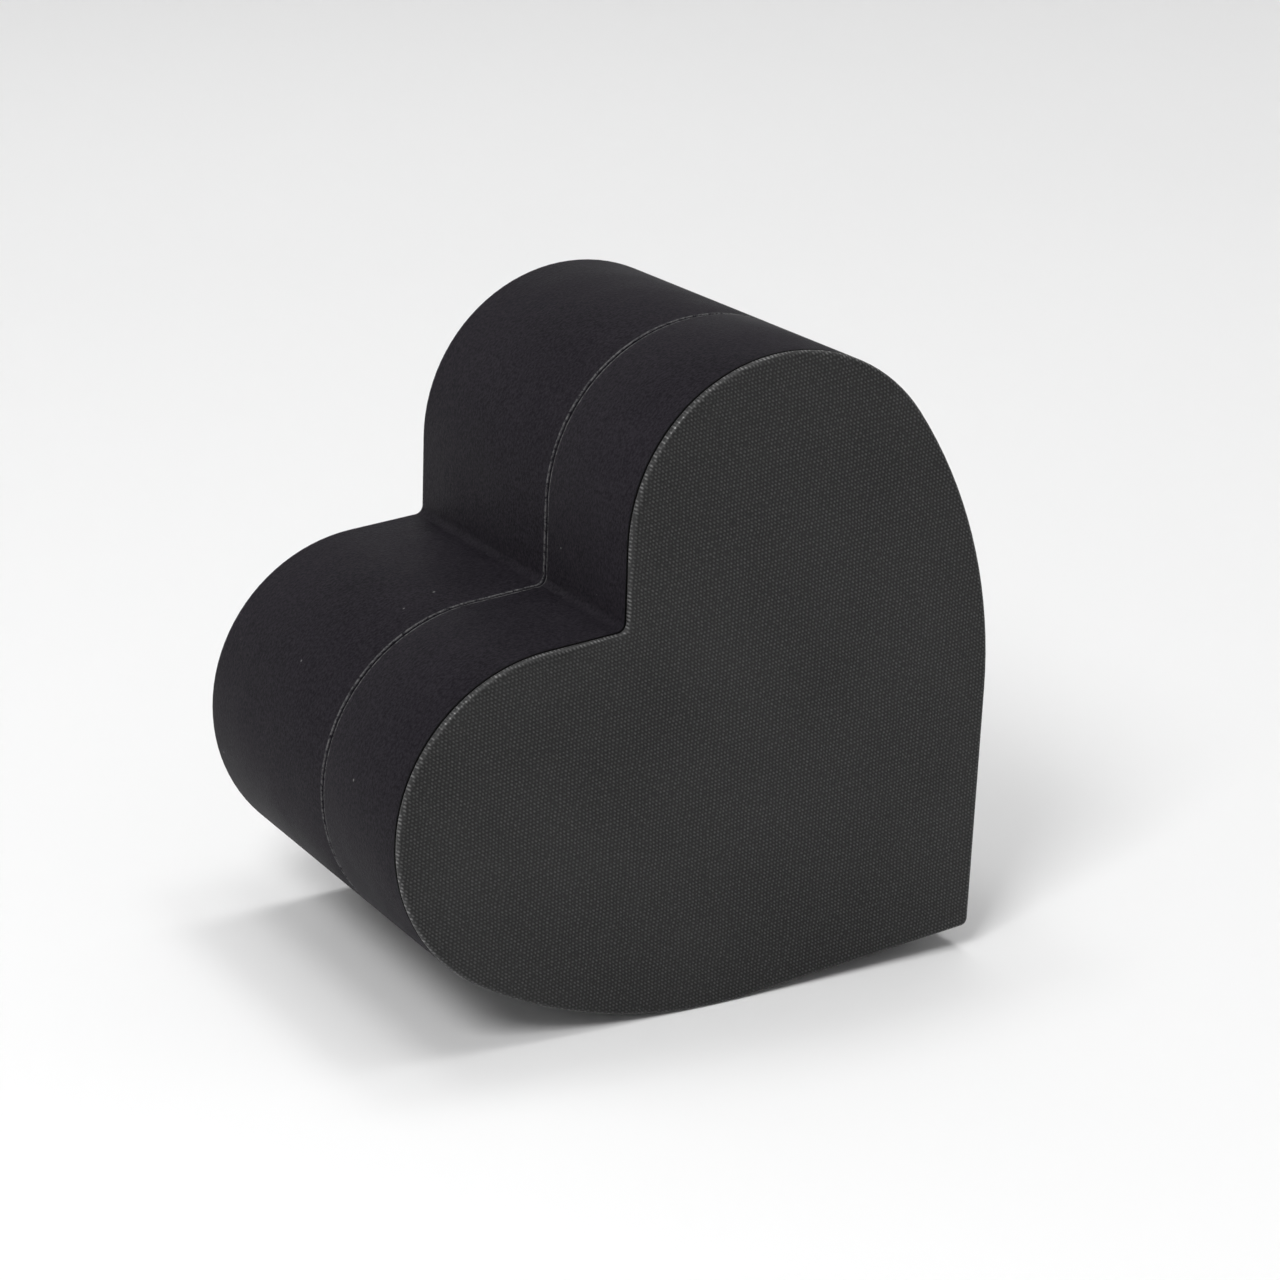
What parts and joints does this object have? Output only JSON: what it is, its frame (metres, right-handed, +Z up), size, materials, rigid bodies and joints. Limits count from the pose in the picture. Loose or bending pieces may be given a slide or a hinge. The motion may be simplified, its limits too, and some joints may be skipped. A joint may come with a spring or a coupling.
{
  "type": "wind up music box",
  "caption": "Heart-shaped keepsake box with a lift-off lid over an inner neck, a lined compartment and a wind-up comb and cylinder movement with its key in a recess underneath.",
  "frame": {"origin": "centre of the box's outline in X and Y, on the surface that it stands on, with the heart stood on one flank", "axes": "+Z up, -Y out of the lid's panel, +Y out of the underside with the key, the heart's tip towards +X and a little down"},
  "size_m": [0.138, 0.0978, 0.1389],
  "materials": {
    "linen_cover": "fine canvas emboss, satin sheen",
    "wall_paper": "smooth matt black paper",
    "grey_board": "uncoated grey board",
    "lining_paper": "matt black lining paper",
    "velvet": "short black velvet pile",
    "cast_zinc": "die-cast zinc, dull grey",
    "steel": "ground steel",
    "screw_steel": "zinc-plated steel",
    "spring_steel": "blued spring steel",
    "brass": "turned brass",
    "nylon": "moulded nylon",
    "black_plastic": "moulded black plastic"
  },
  "bodies": {
    "base": {"base_wall_board": "grey_board", "base_wall_paper": "wall_paper", "bottom_board": "grey_board", "bottom_paper": "wall_paper", "neck_ring": "wall_paper", "platform_ledge": "grey_board", "platform_board": "grey_board", "platform_velvet": "velvet", "bedplate": "cast_zinc", "spring_housing": "cast_zinc", "mainspring": "spring_steel", "comb": "steel", "cylinder_end_plate": "cast_zinc", "governor_frame": "cast_zinc", "mounting_screws": "screw_steel", "key_bush": "brass", "housing_screws": "screw_steel", "comb_screws": "screw_steel", "governor_screws": "screw_steel"},
    "lid": {"panel_board": "grey_board", "panel_linen_cover": "linen_cover", "lid_wall_board": "grey_board", "lid_wall_paper": "wall_paper", "lid_top_board": "grey_board", "lid_wall_lining": "lining_paper", "lid_ceiling_velvet": "velvet"},
    "winding": {"winding_arbor": "steel", "great_wheel": "brass", "arbor_ratchet": "steel", "ratchet_click": "steel", "key_stem": "steel", "key_wings": "steel"},
    "cylinder": {"cylinder_drum": "brass", "cylinder_pins": "steel", "cylinder_drive_gear": "brass", "cylinder_end_gear": "brass", "cylinder_arbor": "steel"},
    "governor": {"governor_pinion": "brass", "worm_wheel": "nylon", "governor_arbor": "steel"},
    "fly": {"worm_spindle": "steel", "fly_wings": "nylon"},
    "stop": {"stop_knob": "black_plastic", "brake_arm": "screw_steel"}
  },
  "joints": [
    {"name": "lid_pull", "type": "slide", "parent": "base", "child": "lid", "axis": [0, -1, 0], "range_m": [0, 0.06]},
    {"name": "key_turn", "type": "hinge", "parent": "base", "child": "winding", "pos_m": [0.00672, 0.0304, 0.05416], "axis": [0, -1, 0], "continuous": true},
    {"name": "cylinder_turn", "type": "hinge", "parent": "base", "child": "cylinder", "pos_m": [-0.00219, 0.02005, 0.04483], "axis": [-0.6909, 0, -0.723], "continuous": true},
    {"name": "governor_turn", "type": "hinge", "parent": "base", "child": "governor", "pos_m": [-0.00964, 0.02005, 0.02546], "axis": [-0.6909, 0, -0.723], "continuous": true},
    {"name": "fly_spin", "type": "hinge", "parent": "base", "child": "fly", "pos_m": [-0.01913, 0.02005, 0.02565], "axis": [0, -1, 0], "continuous": true},
    {"name": "stop_slide", "type": "slide", "parent": "base", "child": "stop", "axis": [0.6909, 0, 0.723], "range_m": [0, 0.004]}
  ],
  "couplings": [
    {"joint": "cylinder_turn", "follows": "key_turn", "ratio": 2.375},
    {"joint": "governor_turn", "follows": "key_turn", "ratio": -7.125},
    {"joint": "fly_spin", "follows": "key_turn", "ratio": -156.75}
  ]
}
